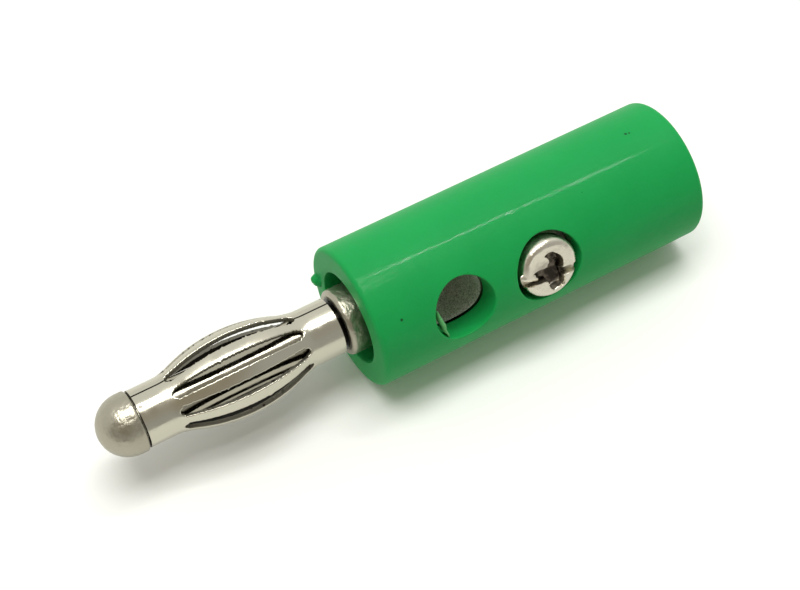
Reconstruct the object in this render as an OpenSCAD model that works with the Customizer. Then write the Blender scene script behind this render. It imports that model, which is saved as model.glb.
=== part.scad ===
// Banana plug with a lantern spring, a side socket for stacking and a side clamp screw.
// The plug stands on its cable end: axis along Z, tip up, side holes towards -Y, table at Z = 0.
// Lengths along the plug are counted from the sleeve's front face, positive towards the cable end.

/* [Sleeve] */
// Outside diameter of the insulating sleeve
sleeve_d = 9.5; // [9:0.1:12]
// Length of the insulating sleeve
sleeve_l = 24; // [22:0.5:32]
// Bore that takes the metal core
bore_d = 6.2; // [6:0.05:6.6]
// Hole in the cable end
cable_d = 5; // [4:0.1:5.4]
// Rounding of the sleeve's outer edges
edge_round = 0.35; // [0.1:0.05:0.6]
// Bevel at the mouth of the cable hole
cable_bevel = 0.5; // [0.1:0.1:0.8]
// Thickness of the moulding-gate stub left on the front face
gate_d = 1.0; // [0.6:0.1:1.4]
// How far the gate stub stands out of the front face
gate_h = 0.38; // [0.1:0.02:0.6]
// Distance of the gate stub's middle from the sleeve's outside
gate_inset = 0.6; // [0.5:0.05:0.9]
// Angle of the gate stub about the axis, from the side holes
gate_turn = 194; // [120:1:240]

/* [Core] */
// Depth of the empty recess in front of the core's body
recess_l = 2.2; // [1.6:0.1:2.8]
// Length of the core's body
core_l = 12.8; // [12:0.1:15]
// Diameter of the collar behind the spring
collar_d = 4.4; // [4:0.1:5]
// How far the collar stands out of the sleeve's front face
collar_proud = 0.86; // [0.4:0.02:1.6]
// Rounding of the collar's front edge
collar_round = 0.3; // [0.1:0.05:0.5]
// Diameter of the stem that carries the spring
stem_d = 3; // [2.6:0.05:3.2]
// Diameter of the domed head
head_d = 3.95; // [3.8:0.01:4]
// Length of the domed head
head_l = 2.55; // [2.3:0.05:3]
// Rounding of the head's rear edge
head_round = 0.2; // [0.05:0.05:0.3]
// Bevel on the ends of the core's body
core_bevel = 0.25; // [0.1:0.05:0.4]

/* [Side socket] */
// Diameter of the cross-hole that another plug goes into
socket_d = 4.1; // [4:0.05:4.3]
// Distance of the cross-hole's centre behind the front face
socket_x = 5.95; // [5.5:0.05:6.4]
// Metal left behind the blind end of the cross-hole
socket_floor = 1.25; // [0.8:0.05:1.6]

/* [Wire clamp] */
// Diameter of the hole for the bare wire
wire_d = 2.5; // [2:0.1:2.8]
// Metal left between the cross-hole and the end of the wire hole
wire_web = 1; // [0.5:0.1:1.2]
// Bevel at the mouth of the wire hole
wire_bevel = 0.3; // [0.1:0.05:0.4]
// Distance of the screw's centre behind the front face
screw_x = 12.1; // [11.6:0.05:12.6]
// Diameter of the screw's shank
screw_d = 2.5; // [2:0.1:3]
// Diameter of the screw's head
screw_head_d = 4; // [3.6:0.05:4.3]
// Height of the screw's head
screw_head_h = 1.15; // [0.9:0.05:1.6]
// Rounding of the head's top edge
screw_head_round = 0.45; // [0.1:0.05:0.6]
// Gap left under the head, which is the travel that clamps the wire
screw_lift = 0.8; // [0.5:0.05:1]
// Width of the driver slot and of the cross recess's arms
drive_w = 0.6; // [0.4:0.05:0.8]
// Depth of the straight slot
slot_depth = 0.5; // [0.3:0.05:0.7]
// Depth of the cross recess at its centre
cross_depth = 0.85; // [0.6:0.05:0.88]
// Length of the cross recess's arms, tip to tip
cross_l = 2.6; // [2:0.1:3]
// How far the slot is turned from the plug's axis, in degrees
drive_turn = -12.5; // [-90:0.5:90]
// Diameter of the sleeve's window for the screw head
window_d = 4.7; // [4.5:0.05:5.2]

/* [Spring] */
// Length of the lantern spring
spring_l = 13.27; // [12:0.01:15]
// Largest diameter of the bulged leaves
bulge_d = 5.64; // [5:0.02:6]
// Thickness of the spring sheet
sheet_t = 0.3; // [0.2:0.02:0.36]
// Length of the plain band at the tip end
front_band = 2.3; // [1.4:0.1:2.8]
// Length of the plain band at the collar end
rear_band = 2.4; // [1.4:0.1:2.8]
// Number of leaves
leaf_count = 10; // [6:1:12]
// Width of a slot between two leaves, as an angle about the axis
slot_angle = 20; // [12:1:22]
// How much narrower a slot's round nose is than the slot, on each side
slot_shoulder = 0.03; // [0.01:0.01:0.06]
// How far a slot runs on into the bands at both ends of the bulge
slot_past = 0.1; // [0.04:0.01:0.3]
// Angle of the rolled sheet's open seam about the axis, where the side holes are at 90 degrees
seam_angle = 8.3; // [0:0.1:360]
// Width of the open seam
seam_gap = 0.12; // [0.06:0.01:0.3]

/* [Fits] */
// Gap all round between the core's body and the sleeve's bore
core_clearance = 0.2; // [0.1:0.05:0.3]
// Gap between the core's rear end and its seat in the sleeve
seat_clearance = 0.03; // [0.01:0.01:0.1]
// Gap all round between the stem and the spring's bands
spring_clearance = 0.07; // [0.02:0.01:0.09]
// End gap between the spring and the head
head_gap = 0.1; // [0.05:0.01:0.3]
// End gap between the spring and the collar
collar_gap = 0.32; // [0.1:0.02:0.6]
// Gap all round between the screw's shank and its hole
screw_clearance = 0.03; // [0.02:0.01:0.08]
// Gap all round by which the sleeve's hole is wider than the cross-hole
socket_clearance = 0.05; // [0:0.01:0.1]
// Gap between the screw's point and the wire hole
point_clearance = 0.05; // [0.02:0.01:0.2]

/* [Hidden] */
$fn = 96;
arc_steps = 6;
dome_steps = 14;
past = 1; // how far a cutter reaches past the surface that it cuts

sleeve_r = sleeve_d / 2;
bore_r = bore_d / 2;
core_r = bore_r - core_clearance;
core_end = recess_l + core_l;
seat_x = core_end + seat_clearance;
collar_x = -collar_proud;
spring_end = collar_x - collar_gap;
spring_start = spring_end - spring_l;
head_end = spring_start - head_gap;
tip_x = head_end - head_l;
stem_r = stem_d / 2;
band_inner_r = stem_r + spring_clearance;
band_r = band_inner_r + sheet_t;
wire_r = wire_d / 2;
wire_end = socket_x + socket_d / 2 + wire_web;
socket_end = core_r - socket_floor;
screw_seat = core_r + screw_lift;
screw_point = wire_r + point_clearance;
side_angle = 90;

// Points of an arc about [r, x], from angle a to angle b
function arc(r, x, radius, a, b, steps) = [
    for (i = [0 : steps])
        let (t = a + (b - a) * i / steps)
        [r + radius * cos(t), x + radius * sin(t)]
];

// Turns the plug, drawn with its tip down, onto its cable end
module stand_up() {
    translate([0, 0, sleeve_l])
        rotate([180, 0, 0])
        children();
}

// Stands its children on the plug's axis at x, looking out of the side holes
module look_sideways(x) {
    translate([0, 0, x])
        rotate([0, 0, side_angle])
        rotate([0, 90, 0])
        children();
}

// A straight hole from one distance off the plug's axis to another
module side_hole(x, d, from, to) {
    look_sideways(x)
        translate([0, 0, from])
        cylinder(d = d, h = to - from);
}

// Sleeve: a moulded tube with a step that seats the core

module sleeve_outline() {
    front = arc(sleeve_r - edge_round, edge_round, edge_round, -90, 0, arc_steps);
    rear = arc(sleeve_r - edge_round, sleeve_l - edge_round, edge_round, 0, 90, arc_steps);
    polygon(concat([[0, 0]], front, rear, [[0, sleeve_l]]));
}

module gate_stub() {
    rotate([0, 0, side_angle + gate_turn])
        translate([sleeve_r - gate_inset, 0, -gate_h])
        cylinder(d1 = gate_d / 2, d2 = gate_d, h = gate_h + edge_round);
}

module insulating_sleeve() {
    color("mediumseagreen")
        stand_up()
        difference() {
            union() {
                rotate_extrude()
                    sleeve_outline();
                gate_stub();
            }
            translate([0, 0, -past])
                cylinder(r = bore_r, h = seat_x + past);
            cylinder(d = cable_d, h = sleeve_l + past);
            translate([0, 0, sleeve_l - cable_bevel])
                cylinder(d1 = cable_d, d2 = cable_d + 2 * cable_bevel, h = cable_bevel);
            side_hole(socket_x, socket_d + 2 * socket_clearance, 0, sleeve_r + past);
            side_hole(screw_x, window_d, 0, sleeve_r + past);
        }
}

// Core: one turned piece from the domed head to the wire clamp

module core_outline() {
    head_r = head_d / 2;
    collar_r = collar_d / 2;
    dome = arc(0, tip_x + head_r, head_r, -90, 0, dome_steps);
    head_back = arc(head_r - head_round, head_end - head_round, head_round, 0, 90, arc_steps);
    collar_front = arc(collar_r - collar_round, collar_x + collar_round, collar_round, -90, 0, arc_steps);
    body = [
        [collar_r, recess_l],
        [core_r - core_bevel, recess_l],
        [core_r, recess_l + core_bevel],
        [core_r, core_end - core_bevel],
        [core_r - core_bevel, core_end],
        [0, core_end]
    ];
    stem = [[stem_r, head_end], [stem_r, collar_x]];
    polygon(concat(dome, head_back, stem, collar_front, body));
}

module wire_hole() {
    translate([0, 0, wire_end])
        cylinder(r = wire_r, h = core_end - wire_end + past);
    translate([0, 0, core_end - wire_bevel])
        cylinder(r1 = wire_r, r2 = wire_r + wire_bevel, h = wire_bevel);
}

module contact_pin() {
    color("silver")
        stand_up()
        difference() {
            rotate_extrude()
                core_outline();
            side_hole(socket_x, socket_d, -socket_end, core_r + past);
            side_hole(screw_x, screw_d + 2 * screw_clearance, 0, core_r + past);
            wire_hole();
        }
}

// Lantern spring: a rolled sheet, slotted into leaves that bulge between two plain bands

bulge_start = spring_start + front_band;
bulge_l = spring_l - front_band - rear_band;
arch_h = bulge_d / 2 - band_r;
arch_outer_r = (pow(bulge_l / 2, 2) + pow(arch_h, 2)) / (2 * arch_h);
arch_centre = bulge_d / 2 - arch_outer_r;
arch_inner_r = sqrt(pow(bulge_l / 2, 2) + pow(band_inner_r - arch_centre, 2));
slot_nose_r = band_inner_r * tan(slot_angle / 2) - slot_shoulder;

// Half section of the sheet: two straight bands and the round arch between them
module spring_wall() {
    translate([band_inner_r, spring_start])
        square([sheet_t, front_band]);
    translate([band_inner_r, spring_end - rear_band])
        square([sheet_t, rear_band]);
    intersection() {
        translate([0, bulge_start])
            square([bulge_d, bulge_l]);
        translate([arch_centre, bulge_start + bulge_l / 2])
            difference() {
                circle(r = arch_outer_r);
                circle(r = arch_inner_r);
            }
    }
}

// A slot that widens with the distance from the axis, with a round nose at each end
module leaf_slot() {
    inner = band_inner_r / 2;
    outer = bulge_d / 2 + past;
    spread = tan(slot_angle / 2);
    first = bulge_start - slot_past + slot_nose_r;
    last = bulge_start + bulge_l + slot_past - slot_nose_r;
    translate([0, 0, first])
        linear_extrude(last - first)
        polygon([
            [inner, -inner * spread],
            [outer, -outer * spread],
            [outer, outer * spread],
            [inner, inner * spread]
        ]);
    for (x = [first, last])
        translate([inner, 0, x])
            rotate([0, 90, 0])
            cylinder(r = slot_nose_r, h = outer - inner);
}

module seam() {
    translate([0, -seam_gap / 2, spring_start - past])
        cube([bulge_d, seam_gap, spring_l + 2 * past]);
}

module lantern_spring() {
    color("gainsboro")
        stand_up()
        difference() {
            rotate_extrude()
                spring_wall();
            rotate([0, 0, seam_angle]) {
                for (i = [0 : leaf_count - 1])
                    rotate([0, 0, 360 * i / leaf_count])
                        leaf_slot();
                seam();
            }
        }
}

// Clamp screw: pan head with a straight slot and a cross recess, plain shank

module screw_outline() {
    head_r = screw_head_d / 2;
    top = screw_seat + screw_head_h;
    edge = arc(head_r - screw_head_round, top - screw_head_round, screw_head_round, 0, 90, arc_steps);
    shank_r = screw_d / 2;
    shank = [[0, screw_point], [shank_r, screw_point], [shank_r, screw_seat], [head_r, screw_seat]];
    polygon(concat(shank, edge, [[0, top]]));
}

module cross_arm() {
    rotate([90, 0, 0])
        translate([0, 0, -drive_w / 2])
        linear_extrude(drive_w)
        polygon([
            [-cross_l / 2, 0],
            [-drive_w / 2, -cross_depth],
            [drive_w / 2, -cross_depth],
            [cross_l / 2, 0]
        ]);
}

module drive_recess() {
    translate([-screw_head_d, -drive_w / 2, -slot_depth])
        cube([2 * screw_head_d, drive_w, slot_depth + past]);
    cross_arm();
    rotate([0, 0, 90])
        cross_arm();
}

module clamp_screw() {
    color("lightgray")
        stand_up()
        look_sideways(screw_x)
        difference() {
            rotate_extrude()
                screw_outline();
            translate([0, 0, screw_seat + screw_head_h])
                rotate([0, 0, drive_turn])
                drive_recess();
        }
}

insulating_sleeve();
contact_pin();
lantern_spring();
clamp_screw();
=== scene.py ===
# %% [markdown]
# # A banana plug
# This lesson dresses a small plug for test leads: a green moulded sleeve, a nickel-plated pin,
# a lantern spring of slotted sheet and a clamp screw. The measured model brings the exact forms
# and the moving bodies. Here the pieces whose edges the light catches get softer, truer surfaces.

# %% Load the measured model
import math

import bmesh
import bpy
import numpy as np
from mathutils import Matrix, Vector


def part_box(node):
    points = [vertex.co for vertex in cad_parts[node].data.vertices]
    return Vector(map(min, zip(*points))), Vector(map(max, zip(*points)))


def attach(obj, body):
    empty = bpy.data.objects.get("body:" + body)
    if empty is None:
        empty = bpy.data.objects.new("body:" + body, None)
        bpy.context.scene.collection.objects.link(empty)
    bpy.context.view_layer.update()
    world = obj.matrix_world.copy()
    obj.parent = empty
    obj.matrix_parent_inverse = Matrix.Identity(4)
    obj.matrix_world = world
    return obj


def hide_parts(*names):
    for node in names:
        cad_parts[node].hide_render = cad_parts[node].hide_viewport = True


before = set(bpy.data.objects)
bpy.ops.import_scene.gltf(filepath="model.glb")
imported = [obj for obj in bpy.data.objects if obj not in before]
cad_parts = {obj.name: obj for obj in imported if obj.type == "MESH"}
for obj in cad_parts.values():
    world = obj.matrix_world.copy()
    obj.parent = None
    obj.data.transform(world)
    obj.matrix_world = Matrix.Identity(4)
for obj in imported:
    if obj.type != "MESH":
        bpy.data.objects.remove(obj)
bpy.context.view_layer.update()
print("nodes:", sorted(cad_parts))

# %% [markdown]
# ## One way to name a place on the plug
# A turned thing is easiest to describe by the distance along its axis, an angle about the axis
# and a radius. The plug stands on its cable end, so lengths run down from the sleeve's front
# face, in millimetres, and angles start at the side holes. These are the socket for a second
# plug and the window over the screw.

# %% Places on the plug
MM = 0.001
sleeve_length, sleeve_r = 24.0, 4.7445
socket_x, socket_r = 5.95, 2.1
window_x, window_r = 12.1, 2.35
sleeve_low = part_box("insulating_sleeve")[0]
front = sleeve_low.z / MM + sleeve_length


def plug_point(x, turn, radius):
    """Row point in mm: x below the front face; radius * sin and * cos of the turn from the side holes."""
    x, turn, radius = np.broadcast_arrays(x, turn, radius)
    return np.stack([-radius * np.sin(turn), -radius * np.cos(turn), front - x], axis=-1)


def side_point(x, across, out):
    """Row point in mm: x below the front face, across the side holes' direction and out along it."""
    return plug_point(x, np.arctan2(across, out), np.hypot(across, out))


print("front face at", round(front, 2), "mm above the floor")

# %% [markdown]
# ## From grids of points to one clean mesh
# Every surface below is a grid: two numbers go in and a point comes out. Patches that share an
# edge are welded, the faces turn outwards, and only real corners stay sharp.

# %% Mesh helpers
weld_distance = 0.002 * MM


def grid_faces(rows, columns, ring=False):
    """Quads of a grid of rows and columns of points; a ring joins the last column to the first."""
    row = np.arange(rows - 1)[:, None]
    column = np.arange(columns if ring else columns - 1)[None, :]
    beside = (column + 1) % columns
    corners = [row * columns + column, row * columns + beside]
    corners += [(row + 1) * columns + beside, (row + 1) * columns + column]
    return np.stack(corners, axis=-1)


def make_piece(name, patches, materials, corner=35, solid=True):
    """One mesh of several (points, faces) patches; a solid is welded and its faces turn outwards."""
    points = np.concatenate([np.reshape(p, (-1, 3)) for p, f in patches])
    starts = np.cumsum([0] + [np.reshape(p, (-1, 3)).shape[0] for p, f in patches])
    faces = np.concatenate([np.reshape(f, (-1, 4)) + s for (p, f), s in zip(patches, starts)])
    mesh = bpy.data.meshes.new(name)
    mesh.from_pydata((points * MM).tolist(), [], faces.tolist())
    if solid:
        work = bmesh.new()
        work.from_mesh(mesh)
        bmesh.ops.remove_doubles(work, verts=work.verts, dist=weld_distance)
        bmesh.ops.recalc_face_normals(work, faces=work.faces)
        work.to_mesh(mesh)
        work.free()
    mesh.shade_smooth()
    mesh.set_sharp_from_angle(angle=math.radians(corner))
    for material in materials:
        mesh.materials.append(material)
    piece = bpy.data.objects.new(name, mesh)
    bpy.context.scene.collection.objects.link(piece)
    print(name, len(mesh.vertices), "points,", len(mesh.polygons), "faces")
    return piece


def arc(x, radius, size, start, stop, steps):
    """(x, radius) points of a round of the given size about a centre, angles in degrees."""
    turn = np.radians(np.linspace(start, stop, steps))
    return np.stack([x + size * np.sin(turn), radius + size * np.cos(turn)], axis=-1)


def wave_noise(t, seed, waves=24):
    """Smooth noise about zero: a sum of sines with random phases and random pitches from 2 to 60."""
    dice = np.random.default_rng(seed)
    pitch, phase = dice.uniform(2, 60, waves), dice.uniform(0, 2 * np.pi, waves)
    return np.sin(np.multiply.outer(t, pitch) + phase).sum(axis=-1) / math.sqrt(waves / 2)


print("mesh helpers ready")

# %% [markdown]
# ## Shader helpers
# A short helper adds a node and fills its sockets, so that each material reads as a list of facts.

# %% Node helpers
def fill(tree, socket, value):
    """Links a socket from an output, or sets it to a constant."""
    if isinstance(value, bpy.types.NodeSocket):
        tree.links.new(value, socket)
    else:
        socket.default_value = value


def add(tree, kind, **sockets):
    """A new node with its sockets filled; _0, _1 and so on name sockets by number."""
    made = tree.nodes.new(kind)
    for name, value in sockets.items():
        fill(tree, made.inputs[int(name[1:]) if name[0] == "_" else name.replace("_", " ")], value)
    return made


def maths(tree, operation, a, b=0.0, c=0.0):
    """One Math node; returns its output."""
    made = add(tree, "ShaderNodeMath", _0=a, _1=b, _2=c)
    made.operation = operation
    return made.outputs[0]


def fade(tree, value, low, high, to_low=0.0, to_high=1.0):
    """A smooth step from to_low to to_high as the value goes from low to high."""
    made = add(tree, "ShaderNodeMapRange", Value=value, From_Min=low, From_Max=high)
    made.interpolation_type = "SMOOTHSTEP"
    fill(tree, made.inputs["To Min"], to_low)
    fill(tree, made.inputs["To Max"], to_high)
    return made.outputs[0]


def blend(tree, share, a, b):
    """A colour mixed from a to b by the share."""
    made = tree.nodes.new("ShaderNodeMix")
    made.data_type = "RGBA"
    fill(tree, made.inputs[0], share)
    fill(tree, made.inputs[6], a)
    fill(tree, made.inputs[7], b)
    return made.outputs[2]


def dot(tree, vector, axis):
    """The part of a vector that points along an axis."""
    made = add(tree, "ShaderNodeVectorMath", _0=vector, _1=axis)
    made.operation = "DOT_PRODUCT"
    return made.outputs["Value"]


print("node helpers ready")

# %% [markdown]
# Node groups and materials have helpers of their own. A group is an effect that several materials
# share: it has named inputs and only returns numbers.

# %% Group and material helpers
def group(name, numbers, outputs):
    """An empty shader node group with a vector input, the named number inputs and number outputs."""
    tree = bpy.data.node_groups.new(name, "ShaderNodeTree")
    tree.interface.new_socket("Vector", in_out="INPUT", socket_type="NodeSocketVector")
    for title in numbers:
        tree.interface.new_socket(title, in_out="INPUT", socket_type="NodeSocketFloat")
    for title in outputs:
        tree.interface.new_socket(title, in_out="OUTPUT", socket_type="NodeSocketFloat")
    return tree, tree.nodes.new("NodeGroupInput").outputs, tree.nodes.new("NodeGroupOutput").inputs


def use(tree, effect, **sockets):
    """Puts a node group into a material; returns its outputs."""
    made = tree.nodes.new("ShaderNodeGroup")
    made.node_tree = effect
    for name, value in sockets.items():
        fill(tree, made.inputs[name], value)
    return made.outputs


def open_material(material):
    """A material's tree, its surface shader and the coordinates of the piece that wears it."""
    tree = material.node_tree
    shader = next(n for n in tree.nodes if n.type == "BSDF_PRINCIPLED")
    places = [n for n in tree.nodes if n.type == "TEX_COORD"] or [tree.nodes.new("ShaderNodeTexCoord")]
    return tree, shader, places[0].outputs["Object"]


def new_material(name):
    """A new material, opened."""
    material = bpy.data.materials.new(name)
    material.use_nodes = True
    return (material, *open_material(material))


def settle(tree, shader, **sockets):
    """Links or sets the surface shader's sockets by name."""
    for name, value in sockets.items():
        fill(tree, shader.inputs[name.replace("_", " ")], value)


print("group and material helpers ready")

# %% [markdown]
# ## Shared effects: places
# The first group turns a point into places on the plug, so that a material can say "on the wall
# of that hole". It gives the place along, across and out in millimetres, the radius about the
# axis, and the reach from the middle line of a side hole.

# %% Place effect
titles = ["Along", "Across", "Out", "Radius", "Reach"]
plug_place, given, result = group("plug_place", ["Middle"], titles)
apart = add(plug_place, "ShaderNodeSeparateXYZ", Vector=given["Vector"]).outputs
along = maths(plug_place, "MULTIPLY_ADD", apart[2], -1 / MM, front)
across = maths(plug_place, "MULTIPLY", apart[0], -1 / MM)
out = maths(plug_place, "MULTIPLY", apart[1], -1 / MM)
beside = maths(plug_place, "SUBTRACT", along, given["Middle"])
sideways = maths(plug_place, "POWER", across, 2.0)
radius = maths(plug_place, "SQRT", maths(plug_place, "MULTIPLY_ADD", out, out, sideways))
reach = maths(plug_place, "SQRT", maths(plug_place, "MULTIPLY_ADD", beside, beside, sideways))
for title, value in zip(titles, (along, across, out, radius, reach)):
    plug_place.links.new(value, result[title])
print("effect:", plug_place.name)

# %% [markdown]
# ## Shared effects: specks and smudges
# One group scatters ragged specks: a noise bends the coordinates, a Voronoi pattern divides them
# into cells, and a chosen share of the cells holds a speck. The other gives a smudged unevenness
# and a finer grain. Each material decides whether they change its colour, gloss or height.

# %% Speck and smudge effects
bent_by, smallest_speck = 0.2 * MM, 0.4
speckle, given, result = group("speckle", ["Scale", "Amount", "Size"], ["Specks"])
fine_scale = maths(speckle, "MULTIPLY", given["Scale"], 5.0)
bent = add(speckle, "ShaderNodeTexNoise", Vector=given["Vector"], Scale=fine_scale)
bent = add(speckle, "ShaderNodeVectorMath", _0=bent.outputs["Color"], _1=(bent_by, bent_by, bent_by))
bent.operation = "MULTIPLY"
bent = add(speckle, "ShaderNodeVectorMath", _0=given["Vector"], _1=bent.outputs[0])
cells = add(speckle, "ShaderNodeTexVoronoi", Vector=bent.outputs[0], Scale=given["Scale"])
chosen = add(speckle, "ShaderNodeSeparateColor", Color=cells.outputs["Color"]).outputs
size = maths(speckle, "MULTIPLY", maths(speckle, "LESS_THAN", chosen[0], given["Amount"]), given["Size"])
size = maths(speckle, "MULTIPLY", size, maths(speckle, "ADD", chosen[1], smallest_speck))
speckle.links.new(maths(speckle, "LESS_THAN", cells.outputs["Distance"], size), result["Specks"])

smudge, given, result = group("smudge", ["Scale"], ["Smudge", "Grain"])
broad = add(smudge, "ShaderNodeTexNoise", Vector=given["Vector"], Scale=given["Scale"], Detail=3.0)
fill(smudge, broad.inputs["Roughness"], 0.6)
fine_scale = maths(smudge, "MULTIPLY", given["Scale"], 9.0)
fine = add(smudge, "ShaderNodeTexNoise", Vector=given["Vector"], Scale=fine_scale, Detail=2.0)
smudge.links.new(fade(smudge, broad.outputs["Fac"], 0.35, 0.7), result["Smudge"])
smudge.links.new(fine.outputs["Fac"], result["Grain"])
print("effects:", speckle.name, smudge.name)

# %% [markdown]
# ## Green plastic: colour
# The sleeve is injection-moulded, so its colour goes all the way through and is almost even. A
# few specks and three dark marks are dirt and knocks. The thin curl of plastic in the socket's
# mouth is painted paler: a painted glow that stands for the light shining through it.

# %% Colour of the green plastic
low_green, high_green = (0.009, 0.315, 0.069, 1), (0.01, 0.33, 0.073, 1)
speck_green, mark_green, glow_green = (0.004, 0.06, 0.02, 1), (0.006, 0.06, 0.02, 1), (0.14, 0.45, 0.17, 1)
# Each mark has a place along the sleeve, a turn in degrees and a size.
marks = ((1.73, -16, 0.13), (20.85, -72.6, 0.14), (21.1, -71.8, 0.1))
green, tree, shader, where = new_material("green_plastic")
uneven = use(tree, smudge, Vector=where, Scale=300.0)
specks = use(tree, speckle, Vector=where, Scale=900.0, Amount=0.008, Size=0.12)["Specks"]
colour = blend(tree, uneven["Smudge"], low_green, high_green)
colour = blend(tree, maths(tree, "MULTIPLY", specks, 0.6), colour, speck_green)
spot = use(tree, plug_place, Vector=where, Middle=socket_x)
in_mouth = maths(tree, "LESS_THAN", spot["Reach"], socket_r - 0.03)
# painted light: the flash curl is lightened to stand for light shining through it
painted_glow = maths(tree, "MULTIPLY", in_mouth, fade(tree, spot["Out"], 4.1, 4.4))
colour = blend(tree, painted_glow, colour, glow_green)
for x, turn, size in marks:
    middle = plug_point(x, math.radians(turn), sleeve_r) * MM
    away = add(tree, "ShaderNodeVectorMath", _0=where, _1=middle)
    away.operation = "DISTANCE"
    away = maths(tree, "MULTIPLY_ADD", uneven["Grain"], size * MM, away.outputs["Value"])
    colour = blend(tree, fade(tree, away, 1.4 * size * MM, size * MM), colour, mark_green)
settle(tree, shader, Base_Color=colour)
print("coloured", green.name, "with", len(marks), "marks")

# %% [markdown]
# ## Green plastic: gloss
# A moulded skin has a soft sheen and isn't quite flat. A little light goes into thin edges, so the
# shader lets some of it scatter. On top lies a thin coat with a finer bump than the body; its
# weight follows the same grain, and this breaks the lamp's long reflection into glitter.

# %% Gloss of the green plastic
glitter = add(tree, "ShaderNodeTexNoise", Vector=where, Scale=9000.0, Detail=2.0).outputs["Fac"]
skin = add(tree, "ShaderNodeBump", Height=uneven["Grain"], Strength=0.35, Distance=0.03 * MM)
gloss = add(tree, "ShaderNodeBump", Height=glitter, Strength=1.0, Distance=0.0025 * MM)
settle(tree, shader, Roughness=0.5, Normal=skin.outputs[0], Specular_IOR_Level=0.1)
settle(tree, shader, Coat_Weight=fade(tree, glitter, 0.42, 0.62, to_low=0.03, to_high=0.25))
settle(tree, shader, Coat_Roughness=0.03, Coat_IOR=1.45, Coat_Normal=gloss.outputs[0])
settle(tree, shader, Subsurface_Weight=0.2, Subsurface_Scale=0.9 * MM, Subsurface_Radius=(0.25, 1.0, 0.35))
print("made", green.name)

# %% [markdown]
# ## Nickel plate
# Plated metal is all reflection. Its warm tint and its gloss are what tell it from steel, and
# fine unevenness breaks long reflections. Turned pieces get faint rings along the axis. The cut
# edges of the spring sheet are rough and greyer. The spring's hidden inside is painted near-black,
# as painted shade.

# %% Nickel
MICRON = 0.001 * MM
speck_black = (0.03, 0.025, 0.02, 1)


def nickel(name, tint, dull, rings, grain, dirt):
    """Plated metal of a tint and a roughness; its height is noise along the axis plus fine grain.

    The depths of rings and grain are in micrometres, and dirt is the share of dark specks.
    """
    material, tree, shader, where = new_material(name)
    uneven = use(tree, smudge, Vector=where, Scale=700.0)
    along = use(tree, plug_place, Vector=where)["Along"]
    on_axis = add(tree, "ShaderNodeCombineXYZ", X=along).outputs[0]
    ring = add(tree, "ShaderNodeTexNoise", Vector=on_axis, Scale=22.0)
    height = maths(tree, "MULTIPLY", ring.outputs["Fac"], rings)
    height = maths(tree, "MULTIPLY_ADD", uneven["Grain"], grain, height)
    skin = add(tree, "ShaderNodeBump", Height=height, Strength=1.0, Distance=MICRON)
    specks = use(tree, speckle, Vector=where, Scale=1300.0, Amount=dirt, Size=0.16)["Specks"]
    colour = blend(tree, maths(tree, "MULTIPLY", specks, 0.85), tint, speck_black)
    rough = fade(tree, uneven["Smudge"], 0, 1, dull, dull + 0.1)
    settle(tree, shader, Base_Color=colour, Metallic=1.0, Roughness=rough, Normal=skin.outputs[0])
    return material


pin_nickel = nickel("nickel_pin", (0.455, 0.43, 0.34, 1), dull=0.3, rings=2.0, grain=12.0, dirt=0.01)
spring_nickel = nickel("nickel_spring", (0.65, 0.625, 0.51, 1), dull=0.13, rings=0.6, grain=3.0, dirt=0.08)
edge_nickel = nickel("sheared_edge", (0.21, 0.2, 0.16, 1), dull=0.45, rings=0.0, grain=20.0, dirt=0.3)
# painted shade: the spring's inside is near-black because little light gets there
inside_shade = nickel("spring_inside_shade", (0.03, 0.026, 0.02, 1), dull=0.5, rings=0.0, grain=6.0, dirt=0.0)
screw_nickel = nickel("nickel_screw", (0.74, 0.7, 0.58, 1), dull=0.27, rings=0.5, grain=5.0, dirt=0.01)
print("made five finishes of plated metal")

# %% [markdown]
# ## What the tools left on the pin, and painted shade in the gap
# The drill left a dull, pitted wall in the cross-hole. The spring has rubbed the stem smooth, and
# the collar is a little coarser. The narrow gap in front of the collar is painted black, as painted
# shade. Each is a mask of the place on the plug.

# %% Tool marks and painted shade on the pin
cross_hole_r, stem_r, stem_end = 2.053, 1.72, -14.46
tree, shader, where = open_material(pin_nickel)
spot = use(tree, plug_place, Vector=where, Middle=socket_x)
plated, polished = (shader.inputs[name].links[0].from_socket for name in ("Base Color", "Roughness"))
drilled = maths(tree, "LESS_THAN", spot["Reach"], cross_hole_r)
pitted = add(tree, "ShaderNodeTexNoise", Vector=where, Scale=9000.0, Detail=4.0, Roughness=0.7)
pits = fade(tree, pitted.outputs["Fac"], 0.35, 0.65)
dull_skin = blend(tree, pits, (0.42, 0.42, 0.37, 1), (0.95, 0.94, 0.87, 1))
inner = maths(tree, "LESS_THAN", spot["Radius"], stem_r)
stem = maths(tree, "MULTIPLY", inner, maths(tree, "GREATER_THAN", spot["Along"], stem_end))
# painted shade: the stem goes near-black in the narrow gap in front of the collar
gap_shade = maths(tree, "MULTIPLY", inner, fade(tree, spot["Along"], -1.45, -1.2))
colour = blend(tree, drilled, blend(tree, gap_shade, plated, (0.01, 0.009, 0.007, 1)), dull_skin)
collar = fade(tree, spot["Along"], -0.95, -0.85, to_low=0.0, to_high=0.02)
rough = maths(tree, "MULTIPLY_ADD", drilled, 0.3, maths(tree, "ADD", polished, collar))
rough = maths(tree, "MULTIPLY_ADD", stem, -0.22, rough)
bare = maths(tree, "MULTIPLY_ADD", drilled, -0.9, 1.0)
settle(tree, shader, Base_Color=colour, Roughness=rough, Metallic=bare)
print("marked", pin_nickel.name)

# %% [markdown]
# The head also shows shallow dents. They are a height of their own under the fine grain, and on
# the rubbed stem both heights shrink to a tenth.

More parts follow.
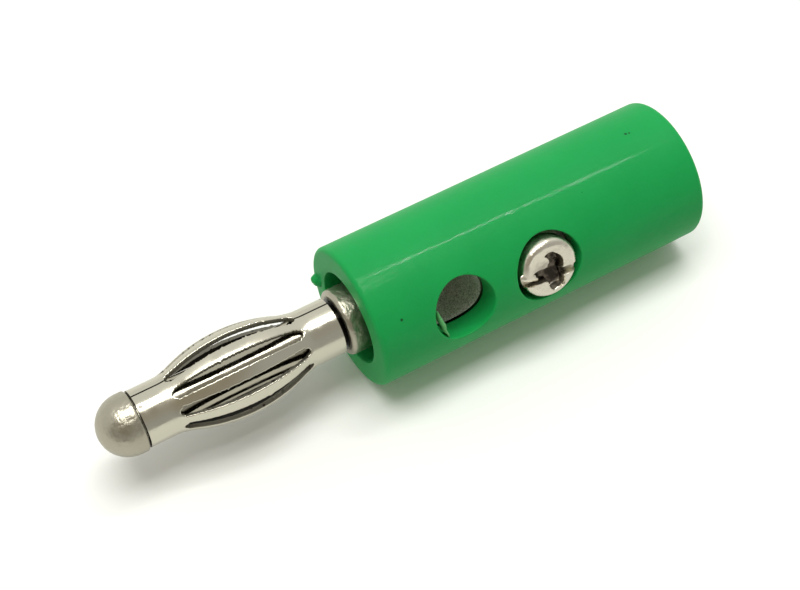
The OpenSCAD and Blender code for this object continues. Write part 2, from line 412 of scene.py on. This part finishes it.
# %% Dents on the pin
rubbed = maths(tree, "MULTIPLY_ADD", stem, -0.9, 1.0)
dents = add(tree, "ShaderNodeTexNoise", Vector=where, Scale=2200.0, Detail=3.0).outputs["Fac"]
dents = maths(tree, "MULTIPLY", dents, rubbed)
dented = add(tree, "ShaderNodeBump", Height=dents, Strength=1.0, Distance=0.06 * MM)
fine_skin = shader.inputs["Normal"].links[0].from_node
fine_height = fine_skin.inputs["Height"].links[0].from_socket
fill(tree, fine_skin.inputs["Normal"], dented.outputs[0])
fill(tree, fine_skin.inputs["Height"], maths(tree, "MULTIPLY", fine_height, rubbed))
print("dented", pin_nickel.name)

# %% [markdown]
# ## Painted shade in the screw's recess
# The recess is painted dark as shade, since hardly any light comes back from deep in it. So the
# colour darkens with the depth below the head's top, but only near the head's middle and not round
# its rim. A noise makes the painted shade uneven and the metal a little rough.

# %% Painted shade on the screw
screw_top = 4.85
tree, shader, where = open_material(screw_nickel)
spot = use(tree, plug_place, Vector=where, Middle=window_x)
plated = shader.inputs["Base Color"].links[0].from_socket
# painted shade: the colour darkens with the depth of the recess, unevenly by a noise
deep = fade(tree, spot["Out"], screw_top - 0.13, screw_top - 0.5)
deep = maths(tree, "MULTIPLY", deep, fade(tree, spot["Reach"], 1.65, 1.25))
patchy = add(tree, "ShaderNodeTexNoise", Vector=where, Scale=2500.0, Detail=3.0).outputs["Fac"]
recess_shade = blend(tree, fade(tree, patchy, 0.4, 0.65), (0.05, 0.042, 0.033, 1), (0.16, 0.135, 0.105, 1))
chewed = add(tree, "ShaderNodeBump", Height=patchy, Strength=0.5, Distance=0.1 * MM)
fill(tree, shader.inputs["Normal"].links[0].from_node.inputs["Normal"], chewed.outputs[0])
settle(tree, shader, Base_Color=blend(tree, deep, plated, recess_shade))
print("marked", screw_nickel.name)

# %% [markdown]
# ## The sleeve's profile
# The sleeve is a profile swept round the axis, with two blocks left open where the side holes
# go. Grid lines of the blocks lie at the same stations on the outside and in the bore.

# %% Sleeve profile
bore_r, cable_r, seat_x = 3.1, 2.5, 15.03
rim_round, rim_middle = 0.35, 4.4
block_half, block_turn, block_cells = 2.9, math.radians(60), 24
openings = [(socket_x, block_half, socket_r, 0.14), (window_x, block_half, window_r, 0.1)]
turn_step = 2.5
turns = np.radians(np.arange(-180.0, 180.0, turn_step))


def block_stations(x_mid, half_x):
    """Places along the axis where a block's grid lines cross."""
    return np.linspace(x_mid - half_x, x_mid + half_x, block_cells + 1)


def sleeve_profile():
    """Closed (x, radius) loop: front face, outside, rear face, cable hole, seat and bore."""
    first, last, between = socket_x - block_half, window_x + block_half, 9.03
    rear_x = sleeve_length
    blocks = [block_stations(socket_x, block_half), [between], block_stations(window_x, block_half)]
    before = np.linspace(rim_round, first, 10)[:-1]
    after = np.linspace(last, rear_x - rim_round, 24)[1:]
    skin = np.concatenate([before, *blocks, after])
    bore = np.concatenate([np.linspace(0.1, first, 10)[:-1], *blocks])[::-1]
    outside = np.stack([skin, np.full_like(skin, sleeve_r)], axis=-1)
    inside = np.stack([bore, np.full_like(bore, bore_r)], axis=-1)
    rear = np.array([[rear_x, 4.1], [rear_x, 3.5], [rear_x, 3.05], [rear_x - 0.05, 2.98]])
    cable_hole = np.array([[x, cable_r] for x in (rear_x - 0.5, rear_x - 3, rear_x - 6, seat_x)])
    seat = np.array([[seat_x, 2.8], [seat_x, bore_r]])
    lip = np.array([[0.03, 3.13], [0.0, 3.2], [0, 3.6], [0, 4.0]])
    front_edge = arc(rim_round, rim_middle, rim_round, -90, 0, 7)[:-1]
    rear_edge = arc(rear_x - rim_round, rim_middle, rim_round, 0, 90, 7)[1:]
    outer, inner = [front_edge, outside, rear_edge, rear], [cable_hole, seat, inside, lip]
    return np.concatenate(outer + inner + [front_edge[:1]])


def open_blocks(profile, radius):
    """True for the cells of the swept grid that a side hole's block covers on the given skin."""
    x, r = (profile[:-1] + profile[1:]).T / 2
    beside = np.abs(turns + math.radians(turn_step / 2)) < block_turn
    along = np.any([np.abs(x - x_mid) < half_x for x_mid, half_x, hole_r, edge in openings], axis=0)
    return (along & (np.abs(r - radius) < 1e-6))[:, None] & beside[None, :]


profile = sleeve_profile()
print("profile of", len(profile), "points")

# %% [markdown]
# ## The side holes
# A tunnel fills each block: its first ring follows the block's border, the next ones shrink onto
# the hole's rim, roll over the edge, go down the wall and open out again on the bore. Grid lines
# therefore follow the holes, and the rounded rims shade cleanly.

# %% Side holes
def tunnel(x_mid, half_x, hole_r, edge):
    """Rings of points from a block's border outside, through the hole, to its border on the bore."""
    xs = block_stations(x_mid, half_x)
    turn = turns[np.abs(turns) <= block_turn + 1e-9]
    climb = turn[1:-1]
    border_x = np.concatenate([xs, np.full(len(climb), xs[-1]), xs[::-1], np.full(len(climb), xs[0])])
    border_turn = np.concatenate([np.full(len(xs), turn[0]), climb, np.full(len(xs), turn[-1]), climb[::-1]])
    spoke = np.arctan2(border_turn / block_turn, (border_x - x_mid) / half_x)

    def on_skin(radius, rim, share):
        """A ring on a round skin, a share of the way from the block's border to the rim."""
        rim_x, rim_turn = x_mid + rim * np.cos(spoke), np.arcsin(rim * np.sin(spoke) / radius)
        x = border_x + (rim_x - border_x) * share
        return plug_point(x, border_turn + (rim_turn - border_turn) * share, radius)

    def in_hole(rim, out):
        """A circle about the hole's middle line, at the given distances out."""
        return side_point(x_mid + rim * np.cos(spoke), rim * np.sin(spoke), out)

    def skin_height(radius, rim):
        """How far out a round skin lies over a circle: root of radius squared less across squared."""
        return np.sqrt(radius**2 - (rim * np.sin(spoke)) ** 2)

    roll = np.radians(np.linspace(15, 90, 6))
    wide = hole_r + edge * (1 - np.sin(roll))
    over = [in_hole(w, skin_height(sleeve_r, w) - edge * (1 - np.cos(t))) for w, t in zip(wide, roll)]
    top, low = skin_height(sleeve_r, hole_r) - edge, skin_height(bore_r, hole_r)
    wall = [in_hole(hole_r, top + (low - top) * s) for s in np.linspace(0, 1, 8)[1:]]
    first = [on_skin(sleeve_r, hole_r + edge, s) for s in np.linspace(0, 1, 9)]
    last = [on_skin(bore_r, hole_r, s) for s in np.linspace(1, 0, 7)[1:]]
    rings = np.stack(first + over + wall + last)
    return rings, grid_faces(rings.shape[0], rings.shape[1], ring=True)


tunnels = [tunnel(*opening) for opening in openings]
print("tunnels of", [points.shape[0] for points, faces in tunnels], "rings")

# %% [markdown]
# ## Marks of moulding
# Two small faults show how the sleeve was made: the stub where the moulding gate was torn off,
# and a curl of flash that hangs at the rim of the socket.

# %% Gate stub and flash
gate_turn, gate_r, gate_lean = math.radians(194), 4.02, 0.13
gate_sunk, gate_tall = 0.25, 0.6
curl_from, curl_turn, curl_deep = 157, 70, 0.4


def gate_stub():
    """The torn-off moulding gate: rings of a rough cone that stands on the front face."""
    turn = np.linspace(0, 2 * np.pi, 33)[:-1]
    share = np.array([0.0, 0.15, 0.4, 0.7, 0.92, 1.0, 1.0, 1.0, 1.0])[:, None]
    wide = np.array([0.66, 0.62, 0.5, 0.39, 0.3, 0.22, 0.14, 0.07, 0.0])[:, None]
    wide = wide * (1 + 0.1 * wave_noise(turn / 20, 7)[None, :])
    torn = 0.03 * np.clip(wave_noise(turn / 25, 8), -1, 1)[None, :] * (wide > 0.05)
    across, away = wide * np.cos(turn), gate_r + gate_lean * share + wide * np.sin(turn)
    below = gate_sunk - share * (gate_tall + torn)
    points = plug_point(below, gate_turn + np.arctan2(across, away), np.hypot(across, away))
    return points, grid_faces(*points.shape[:2], ring=True)


def flash_sliver():
    """A curl of plastic at the socket's rim: a thin flat loop swept along part of the rim."""
    along = np.linspace(0, 1, 25)[:, None]
    turn = np.radians(curl_from + curl_turn * along)
    loop = np.radians(np.linspace(0, 360, 13)[:-1])[None, :]
    swell = np.sin(np.pi * along)
    inwards, thick = curl_deep * swell**0.7, 0.02 + 0.14 * swell**0.6
    reach = socket_r - inwards + thick * np.cos(loop) + 0.02 * wave_noise(along * 0.4, 4)
    across = -reach * np.sin(turn)
    out = np.sqrt(sleeve_r**2 - across**2) - 0.42 + 0.4 * np.sin(loop)
    points = side_point(socket_x + reach * np.cos(turn), across, out)
    return points, grid_faces(*points.shape[:2], ring=True)


print("gate stub and flash ready")

# %% [markdown]
# Now the sweep, the tunnels and the two faults become one piece, which takes the sleeve's place.

# %% Sleeve
swept = plug_point(profile[:, None, 0], turns[None, :], profile[:, None, 1])
cells = grid_faces(len(profile), len(turns), ring=True)
kept = cells[~(open_blocks(profile, sleeve_r) | open_blocks(profile, bore_r))]
sleeve = make_piece("sleeve", [(swept, kept)] + tunnels + [gate_stub(), flash_sliver()], [green])
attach(sleeve, "plug")
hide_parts("insulating_sleeve")

# %% [markdown]
# ## The lantern spring's form
# The spring starts as a strip of sheet with ten slots punched in it, is rolled into a tube and
# pressed so that the leaves bulge. Its radius follows an arch between two straight bands. The
# slots are wedges with round ends, and the punch has left them a little ragged.

# %% Spring form
spring_start, spring_end = -14.45, -1.18
band_r, bulge_r, sheet, bend = 1.87, 2.82, 0.3, 0.3
leaves, slot_half, nose_r = 10, math.radians(10), 0.247
seam_turn, seam_half = math.radians(-81.7), 0.06
edge_wide, edge_round = 0.07, 0.08
punch_rough, nick_deep = 0.014, 0.06
bulge_from, bulge_to = spring_start + 2.3, spring_end - 2.4
slot_from, slot_to = bulge_from - 0.1, bulge_to + 0.1


def spring_radius(x):
    """Straight bands, and between them a circle's arch bulge_r high; a smooth maximum joins the two."""
    half, rise = (bulge_to - bulge_from) / 2, bulge_r - band_r
    round_r = (half**2 + rise**2) / (2 * rise)
    arch = bulge_r - round_r + np.sqrt(round_r**2 - (x - (bulge_from + bulge_to) / 2) ** 2)
    share = np.clip(0.5 + (arch - band_r) / (2 * bend), 0, 1)
    return band_r + (arch - band_r) * share + bend * share * (1 - share)


def past_nose(x):
    """How far a place lies beyond the middle of the nearer round slot end, or zero between them."""
    return np.maximum(np.maximum(slot_from + nose_r - x, x - slot_to + nose_r), 0)


def slot_width(x, seed, seam):
    """Half the slot's width in mm: a wedge between two round noses, roughened and nicked by the punch."""
    beyond = past_nose(x)
    nose = np.sqrt(np.maximum(nose_r**2 - beyond**2, 0))
    rough = punch_rough * wave_noise((x - spring_start) * 1.3, seed)
    rough -= nick_deep * np.maximum(wave_noise((x - spring_start) * 0.5, seed + 50) - 1.3, 0)
    wedge = np.maximum(spring_radius(x) * np.tan(slot_half) + rough, nose_r)
    return np.maximum(np.where(beyond == 0, wedge, nose), seam_half * seam)


def edge_drop(distance):
    """How far the outside falls away at a distance from a slot: part of a small round."""
    inside = np.clip(edge_wide - distance, 0, edge_wide)
    return edge_round - np.sqrt(edge_round**2 - inside**2)


print("bulge from", round(bulge_from, 2), "to", round(bulge_to, 2))

# %% [markdown]
# ## Half a leaf at a time
# Each leaf is drawn as two grids. A grid runs from the leaf's middle line along the inside to
# the slot's edge and comes back on the outside, where the edge is slightly rounded and catches
# the light. On the bands the slots close; at the seam a hair's width stays open.

# %% Half leaves
def leaf_rows():
    """Places along the axis: close together where the slots' noses are, wider on the bands."""
    nose = nose_r * (1 - np.cos(np.linspace(0, np.pi / 2, 9)))
    band = 1 - (1 - np.linspace(0, 1, 10)) ** 1.6
    first = spring_start + (slot_from - spring_start) * band[:-1]
    last = spring_end - (spring_end - slot_to) * band[:-1]
    middle = np.linspace(slot_from + nose_r, slot_to - nose_r, 130)[1:-1]
    return np.concatenate([first, slot_from + nose, middle, slot_to - nose[::-1], last[::-1]])


def half_leaf(slot, side):
    """A loop of columns: inside from the middle line to the edge, then back on the outside."""
    rows = leaf_rows()
    radius = spring_radius(rows)[:, None]
    half = slot_width(rows, 10 * slot + (side > 0), slot == 0)[:, None]
    share = np.array([[0, 0.04, 0.08, 0.12, 0.16, 0.2, 0.3, 0.45, 0.6, 0.8, 1.0]])
    offset = np.arcsin(half / radius) * (1 - share) + np.pi / leaves * share
    turn = seam_turn + slot * 2 * np.pi / leaves + side * offset
    beyond = past_nose(rows)[:, None]
    away = np.where(beyond > 0, np.hypot(beyond, offset * radius) - nose_r, offset * radius - half)
    outside = plug_point(rows[:, None], turn, radius - edge_drop(np.maximum(away, 0)))
    inside = plug_point(rows[:, None], turn, radius - sheet)
    points = np.concatenate([inside[:, ::-1], outside], axis=1)
    faces, columns = grid_faces(*points.shape[:2]), share.size
    # Where the slot is closed there is no cut edge.
    kept = np.ones(faces.shape[:2], bool)
    kept[(half[:-1, 0] < 1e-6) & (half[1:, 0] < 1e-6), columns - 1] = False
    # Strips from inside to outside close the two ends of the sheet.
    step = np.arange(columns - 1)
    ends = np.stack([columns - 1 - step, columns - 2 - step, columns + 1 + step, columns + step], axis=-1)
    return points, np.concatenate([faces[kept], ends, ends + (len(rows) - 1) * 2 * columns])


halves = [half_leaf(slot, side) for slot in range(leaves) for side in (-1, 1)]
print(len(halves), "half leaves")

# %% [markdown]
# The way a face looks decides its metal: inwards gets near-black painted shade, outwards is bright
# plate, and what lies between is the rough cut edge of the sheet.

# %% Lantern spring
spring = make_piece("spring", halves, [spring_nickel, inside_shade, edge_nickel], corner=50)
middles = np.empty(len(spring.data.polygons) * 3)
facing = np.empty_like(middles)
spring.data.polygons.foreach_get("center", middles)
spring.data.polygons.foreach_get("normal", facing)
middles, facing = middles.reshape(-1, 3)[:, :2], facing.reshape(-1, 3)[:, :2]
outwards = (middles * facing).sum(axis=1) / np.linalg.norm(middles, axis=1)
metal = np.where(outwards < -0.5, 1, np.where(outwards < 0.3, 2, 0))
spring.data.polygons.foreach_set("material_index", metal)
print("inside faces:", int((metal == 1).sum()), "edge faces:", int((metal == 2).sum()))
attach(spring, "spring")
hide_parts("lantern_spring")

# %% [markdown]
# ## Pin
# The pin is turned from one bar. The sleeve and the spring hide most of its edges, so it keeps its
# measured form and only takes on the plated metal.

# %% Metal on the pin
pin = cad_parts["contact_pin"]
pin.data.materials.clear()
pin.data.materials.append(pin_nickel)
print("contact_pin wears", pin_nickel.name)

# %% [markdown]
# ## The worn screw
# Drivers have slipped in the slot and the cross recess and chewed them into a ragged star. The
# head is a disc whose height depends on the place: how far the star reaches at each angle is a
# short list, and the depth fades in over a narrow wall.

# %% Recess of the screw
slot_deep, slot_mid, slot_lean, drive_half, slot_wall = 0.5, 0.48, 0.09, 0.29, 0.07
star_deep, star_mid, star_wall, star_curl = 0.85, 0.15, 0.16, 0.5
scoop_deep, scoop_x, scoop_across, scoop_r = 0.15, -0.75, -0.7, 0.85
# Turn in degrees and reach in mm of the star's points and of the hollows between them.
star_left = [(-180, 1.3), (-170, 1.42), (-158, 1.4), (-146, 0.66), (-102, 0.66)]
star_top = [(-88, 0.9), (-75, 1.28), (-46, 1.26), (-30, 1.0), (-10, 0.8), (15, 0.66)]
star_low = [(45, 0.9), (70, 1.42), (99, 1.42), (125, 1.0), (150, 0.85)]


def ease(share):
    """A smooth step from 0 to 1: three times the share's square less twice its cube."""
    share = np.clip(share, 0, 1)
    return share**2 * (3 - 2 * share)


def star_reach(turn):
    """How far the worn cross reaches at a turn about its middle; ragged from one turn to the next."""
    places, reach = np.array(star_left + star_top + star_low).T
    ragged = 1 + 0.05 * wave_noise(np.cos(turn / 2) / 2, 21)
    return np.interp(turn, np.radians(places), reach, period=2 * np.pi) * ragged


def recess(x, across):
    """Depth below the head's top: the deepest of a slot, the worn cross and a shallow scoop.

    The cross's upper arm curls: its turn grows with the distance from the middle.
    """
    slot = slot_deep * ease((drive_half - np.abs(across - slot_mid - slot_lean * x)) / slot_wall)
    away, turn = np.hypot(x - star_mid, across - star_mid), np.arctan2(across - star_mid, x - star_mid)
    curled = turn + star_curl * np.clip(-across, 0, 1) * away
    star = (star_deep - 0.2 * away) * ease((star_reach(curled) - away) / star_wall)
    scoop = scoop_deep * ease(1.1 - np.hypot(x - scoop_x, across - scoop_across) / scoop_r)
    return np.maximum(np.maximum(slot, star), scoop)


print("deepest place of the recess:", round(float(recess(star_mid, star_mid)), 2), "mm")

# %% [markdown]
# The disc, its rounded edge, the head's side and the plain shank are rows of one round grid. A
# slipped driver has also pushed a lump of metal out of the slot's left end, a flattened ball that
# is half sunk in the head and travels with the screw.

# %% Screw
head_r, head_round, head_seat = 2.0, 0.45, 3.7
shank_r, shank_end = 1.25, 1.3
burr_x, burr_across, burr_out, burr_lean = -1.58, 0.04, 4.6, math.radians(28)
burr_long, burr_wide, burr_tall = 0.66, 0.25, 0.22


def worn_screw():
    """Rows of rings: head's top less the recess, then edge, side, seat, shank and end."""
    flat, edge = np.linspace(0, head_r - head_round, 80), np.radians(np.linspace(0, 90, 13))[1:]
    rings = np.concatenate([flat, head_r - head_round + head_round * np.sin(edge)])[:, None]
    fall = np.concatenate([np.zeros(len(flat)), head_round * (1 - np.cos(edge))])[:, None]
    turn = np.linspace(0, 2 * np.pi, 361)[None, :-1]
    top = screw_top - np.maximum(fall, recess(rings * np.cos(turn), rings * np.sin(turn)))
    side = [(head_r, 4.0), (head_r, head_seat)]
    shank = [(shank_r, head_seat), (shank_r, 2.5), (shank_r, shank_end), (0, shank_end)]
    body = np.array(side + shank)
    rings = np.concatenate([rings, body[:, :1]])
    out = np.concatenate([top, np.repeat(body[:, 1:], turn.size, axis=1)])
    points = side_point(window_x + rings * np.cos(turn), rings * np.sin(turn), out)
    return points, grid_faces(*points.shape[:2], ring=True)


def burr():
    """A flattened ball: latitude and longitude give the direction, a few waves the radius."""
    tall = np.linspace(-np.pi / 2, np.pi / 2, 17)[:, None]
    turn = np.linspace(0, 2 * np.pi, 25)[None, :-1]
    wide = np.cos(tall) * (1 + 0.1 * np.cos(tall) * (np.sin(3 * turn + 1) + np.sin(2 * turn + 4 * tall)))
    long, broad = burr_long * wide * np.cos(turn), burr_wide * wide * np.sin(turn)
    along = window_x + burr_x + long * np.cos(burr_lean) - broad * np.sin(burr_lean)
    across = burr_across + long * np.sin(burr_lean) + broad * np.cos(burr_lean)
    points = side_point(along, across, burr_out + burr_tall * np.sin(tall))
    return points, grid_faces(*points.shape[:2], ring=True)


screw = make_piece("screw", [worn_screw()], [screw_nickel], corner=50)
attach(screw, "screw")
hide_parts("clamp_screw")
lump = make_piece("screw_burr", [burr()], [screw_nickel])
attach(lump, "screw")

# %% [markdown]
# ## Places over the table
# In the photo the plug lies on a white table. The model stands on its cable end, because a round
# thing rolls. So the table stands upright here, as a backdrop that touches the sleeve, and camera
# and lamps turn with it: places are given along the plug, across the table and up from it.

# %% Places over the table
tilt = math.radians(24)
slant, level = math.sin(tilt), math.cos(tilt)
# The columns are the directions along the plug, across the table and up from it.
photo_axes = np.array([[0, slant, level], [0, level, -slant], [-1, 0, 0]])


def over_table(along, across, up):
    """Row point in metres of a place along the plug, across the table and up from it, in mm."""
    return (photo_axes @ np.array([along, across, up - sleeve_r]) + [0, 0, front]) * MM


print("up from the table is", np.round(photo_axes[:, 2], 2).tolist())

# %% [markdown]
# ## Table
# The table is a dull white sheet. Seen from behind it is clear. To the camera it is solid, but for
# other rays it is a little milky and lets some light through, so that the side of the sleeve that
# touches it isn't black.

# %% Table
table_half, table_gap, milky_share = 900, 0.02, 0.4
table_white, tree, shader, _ = new_material("table_white")
settle(tree, shader, Base_Color=(0.925, 0.935, 0.9, 1), Roughness=0.9, Specular_IOR_Level=0.1)
behind = tree.nodes.new("ShaderNodeNewGeometry").outputs["Backfacing"]
clear = tree.nodes.new("ShaderNodeBsdfTransparent").outputs[0]
seen = tree.nodes.new("ShaderNodeLightPath").outputs["Is Camera Ray"]
through = add(tree, "ShaderNodeBsdfTranslucent", Color=(0.9, 0.9, 0.88, 1)).outputs[0]
share = maths(tree, "MULTIPLY_ADD", seen, -milky_share, milky_share)
milky = add(tree, "ShaderNodeMixShader", _0=share, _1=shader.outputs[0], _2=through).outputs[0]
surface = add(tree, "ShaderNodeMixShader", _0=behind, _1=milky, _2=clear)
output = next(n for n in tree.nodes if n.type == "OUTPUT_MATERIAL")
tree.links.new(surface.outputs[0], output.inputs["Surface"])
signs = ((-1, -1), (1, -1), (1, 1), (-1, 1))
corners = [over_table(table_half * x, table_half * y, -table_gap) / MM for x, y in signs]
table = make_piece("table", [(np.array(corners), np.array([[0, 1, 2, 3]]))], [table_white], solid=False)

# %% [markdown]
# ## Room
# Metal shows the room it stands in. The room behind the plug is pale, in front it is darker, and
# round the camera there is a dim brown-grey patch. The camera itself sees plain white.

# %% Room
world = bpy.data.worlds.new("room")
bpy.context.scene.world = world
world.use_nodes = True
tree = world.node_tree
backdrop = next(n for n in tree.nodes if n.type == "BACKGROUND")
seen = tree.nodes.new("ShaderNodeLightPath").outputs["Is Camera Ray"]
looking = tree.nodes.new("ShaderNodeTexCoord").outputs["Generated"]
lengthways = dot(tree, looking, photo_axes @ (1, 0, 0))
depth = dot(tree, looking, photo_axes @ (0, 1, 0))
towards = dot(tree, looking, photo_axes @ (-0.42, -0.46, 0.78))
room = blend(tree, fade(tree, lengthways, -0.7, 0.7), (0.32, 0.315, 0.3, 1), (0.46, 0.455, 0.44, 1))
room = blend(tree, fade(tree, depth, -0.3, 0.3), room, (0.82, 0.82, 0.8, 1))
room = blend(tree, fade(tree, towards, 0.6, 1.0), room, (0.34, 0.3, 0.24, 1))
tree.links.new(blend(tree, seen, room, (1, 1, 1, 1)), backdrop.inputs["Color"])
print("made the", world.name)

# %% [markdown]
# ## Lamps
# One large soft lamp over the table draws the bright streaks on the metal and the soft shadow. A
# narrow lamp adds the thin line along the sleeve. Both face the plug.

# %% Lamps
def unit(vector):
    """The vector divided by its length."""
    return vector / np.linalg.norm(vector)


def put(item, right, up, back, spot):
    """Links an object at a spot, with its own axes along three directions at right angles."""
    pose = np.eye(4)
    pose[:3] = np.stack([right, up, back, spot], axis=-1)
    item.matrix_world = Matrix(pose.tolist())
    bpy.context.scene.collection.objects.link(item)


def soft_lamp(name, place, length, wide, deep, watts):
    """A rectangular lamp that faces the plug; its wide side follows the direction of its length."""
    spot = over_table(*place)
    back = unit(spot - over_table(0, 0, sleeve_r))
    side = unit(np.cross(np.cross(back, photo_axes @ length), back))
    lamp = bpy.data.objects.new(name, bpy.data.lights.new(name, "AREA"))
    lamp.data.shape = "RECTANGLE"
    lamp.data.size, lamp.data.size_y, lamp.data.energy = wide, deep, watts
    put(lamp, side, np.cross(back, side), back, spot)


soft_lamp("softbox", place=(-36, 42, 600), length=(1, 0, 0), wide=0.46, deep=0.28, watts=2.45)
soft_lamp("strip", place=(228.5, 79.9, 560), length=(1, -0.647, 0), wide=0.15, deep=0.008, watts=0.32)
print("lamps set")

# %% [markdown]
# ## Camera
# The camera looks down on the table from the tip's side, as in the photo. Its place was fitted to
# the outlines of the plug, and the frame is turned so that the table is level.

# %% Camera
eye = over_table(-27.15, -52.2, 89.4)
ahead = unit(photo_axes @ (0.2963, 0.5005, -0.8135))
right = unit(np.cross(ahead, photo_axes @ (0, 0, 1)))
camera = bpy.data.objects.new("camera", bpy.data.cameras.new("camera"))
camera.data.lens, camera.data.sensor_width, camera.data.clip_start = 74.25, 36, 0.005
put(camera, right, np.cross(right, ahead), -ahead, eye)
bpy.context.scene.camera = camera
bpy.context.scene.view_settings.view_transform = "Standard"
print("camera at", [round(1000 * float(part)) for part in eye], "mm")
